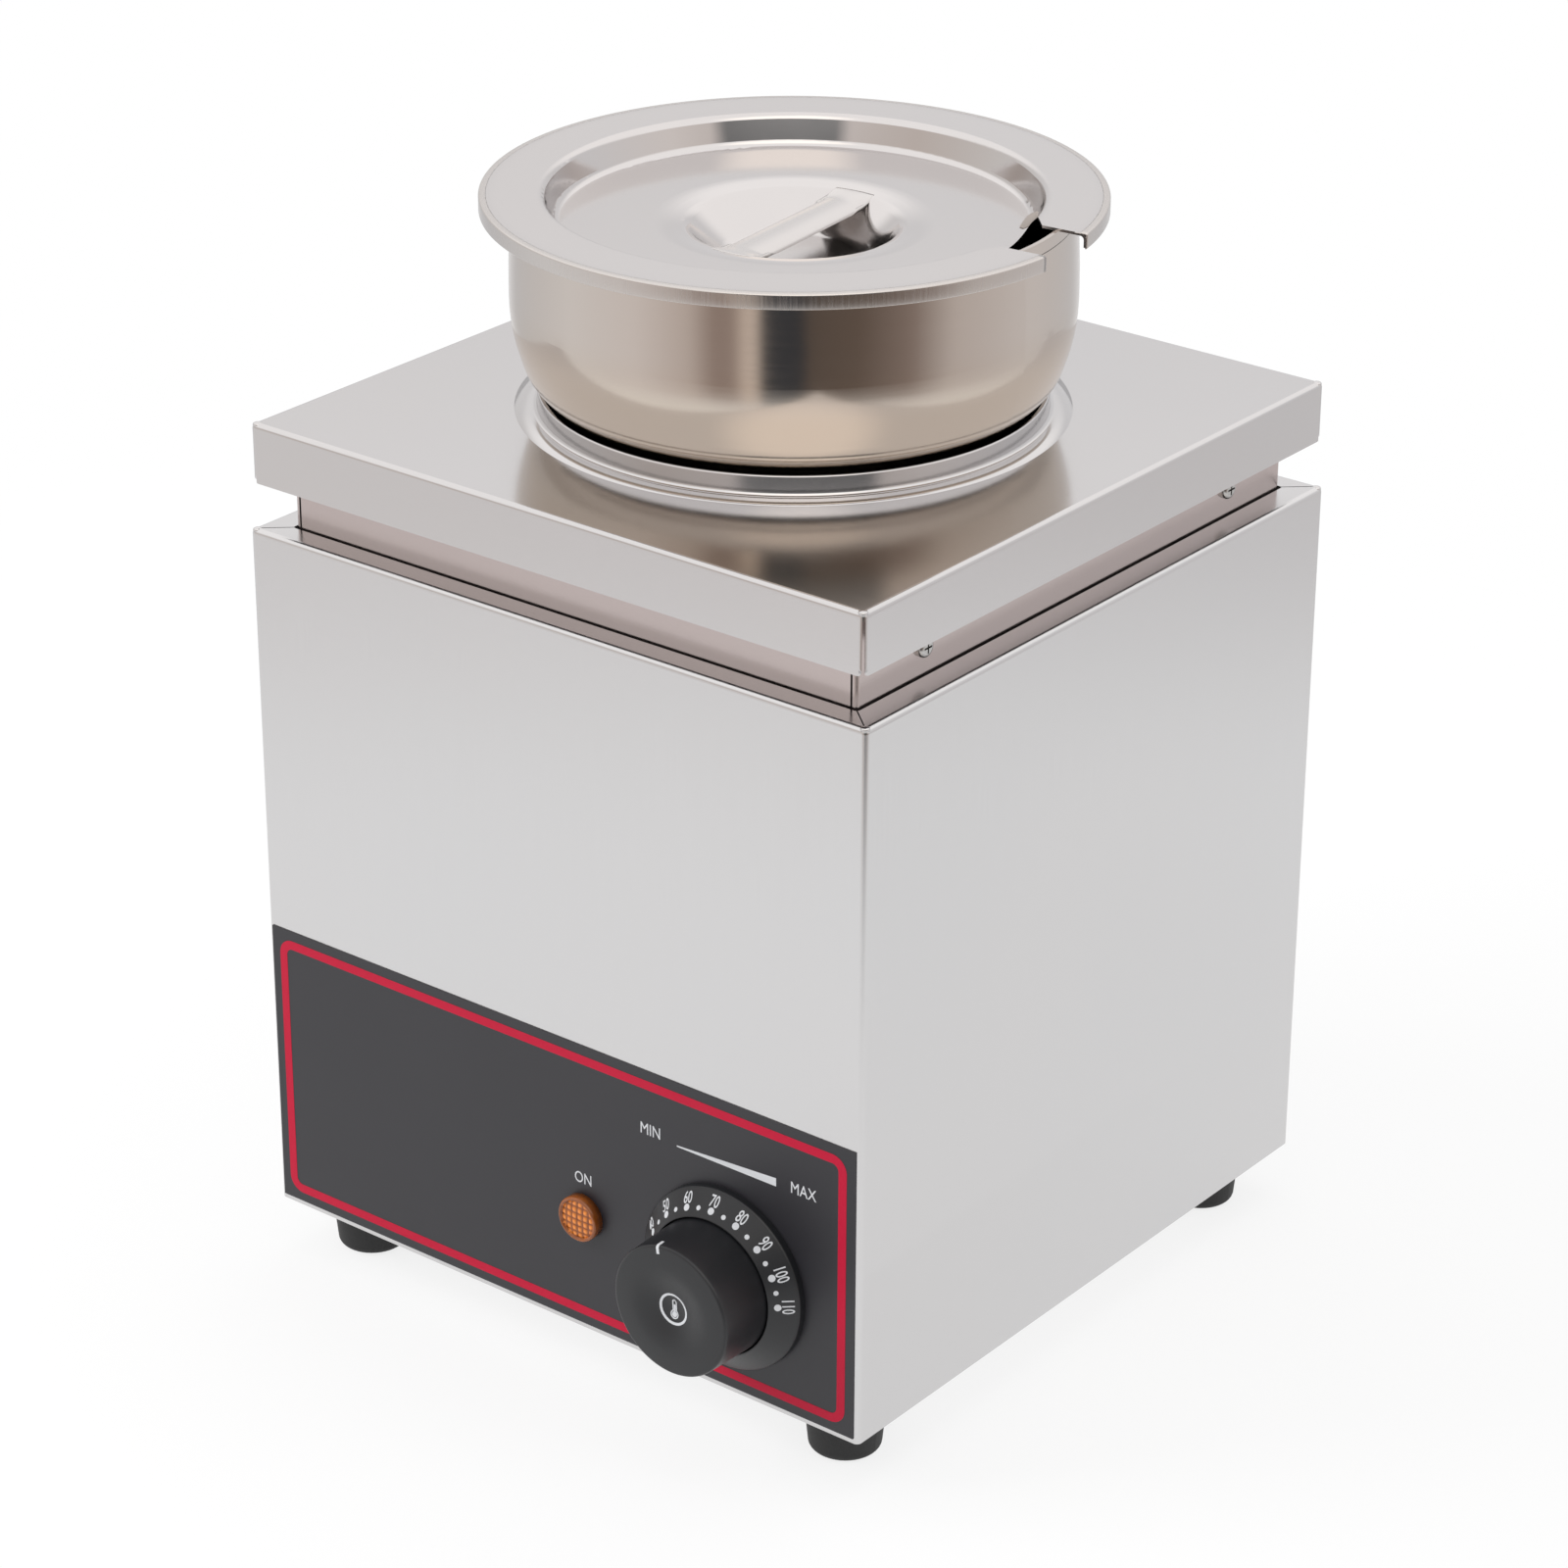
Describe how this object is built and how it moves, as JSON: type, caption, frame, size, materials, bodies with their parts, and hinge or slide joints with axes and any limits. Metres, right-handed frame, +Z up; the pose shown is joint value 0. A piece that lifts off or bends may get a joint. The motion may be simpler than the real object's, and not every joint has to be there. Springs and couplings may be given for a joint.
{
  "type": "soup kettle",
  "caption": "Square countertop soup kettle: stainless cabinet with heated water bath, thermostat dial and lamp, lift-out round pot and recessed lid with ladle notch.",
  "frame": {"origin": "on the floor under the middle of the cabinet", "axes": "+Z up, control panel facing -Y, +X to the right as seen from the front"},
  "size_m": [0.275, 0.3322, 0.4125],
  "materials": {
    "stainless": "satin",
    "polished_steel": "fine satin to polished",
    "fastener_steel": "bright",
    "rubber": "matt",
    "panel_film": "matt",
    "black_plastic": "satin",
    "amber_lens": "clear gloss",
    "pale_plastic": "matt",
    "wool": "felted",
    "aluminium": "milled",
    "element_steel": "oxidised",
    "brass": "drawn",
    "wire_sleeve": "satin"
  },
  "bodies": {
    "cabinet": {"outer_casing": "stainless", "rear_panel": "stainless", "base_plate": "stainless", "neck_frame": "stainless", "neck_brackets": "stainless", "water_tank": "stainless", "trivet": "stainless", "bulb_clips": "stainless", "top_plate": "polished_steel", "foot_washers": "fastener_steel", "foot_screws": "fastener_steel", "foot_nuts": "fastener_steel", "neck_studs": "fastener_steel", "neck_nuts": "fastener_steel", "neck_screws": "fastener_steel", "bracket_nuts": "fastener_steel", "clamp_stud": "fastener_steel", "clamp_nut": "fastener_steel", "cutout_screws": "fastener_steel", "thermostat_screws": "fastener_steel", "block_screws": "fastener_steel", "rear_screws": "fastener_steel", "base_screws": "fastener_steel", "feet": "rubber", "neck_seal": "rubber", "control_panel": "panel_film", "dial_bezel": "black_plastic", "cable_gland": "black_plastic", "gland_dome": "black_plastic", "gland_locknut": "black_plastic", "lamp_lens": "amber_lens", "thermostat_body": "pale_plastic", "lamp_body": "pale_plastic", "lamp_clip": "pale_plastic", "terminal_block": "pale_plastic", "thermal_cutout": "pale_plastic", "insulation_wrap": "wool", "heat_spreader": "aluminium", "heating_element": "element_steel", "element_clamp": "element_steel", "element_pins": "brass", "sensing_bulb": "brass", "capillary_tube": "brass", "terminal_screws": "brass", "earth_stud": "brass", "earth_nuts": "brass", "internal_wires": "wire_sleeve"},
    "pot": {"pot": "polished_steel"},
    "lid": {"lid": "polished_steel", "lid_handle": "polished_steel"},
    "dial": {"thermostat_spindle": "brass", "control_knob": "black_plastic", "knob_clip": "fastener_steel"}
  },
  "joints": [
    {"name": "pot_lift", "type": "slide", "parent": "cabinet", "child": "pot", "axis": [0, 0, 1], "range_m": [0, 0.27]},
    {"name": "lid_lift", "type": "slide", "parent": "pot", "child": "lid", "axis": [0, 0, 1], "range_m": [0, 0.15]},
    {"name": "knob_turn", "type": "hinge", "parent": "cabinet", "child": "dial", "pos_m": [0.0794, -0.13675, 0.068], "axis": [0, 1, 0], "range_deg": [-108, 107]}
  ]
}
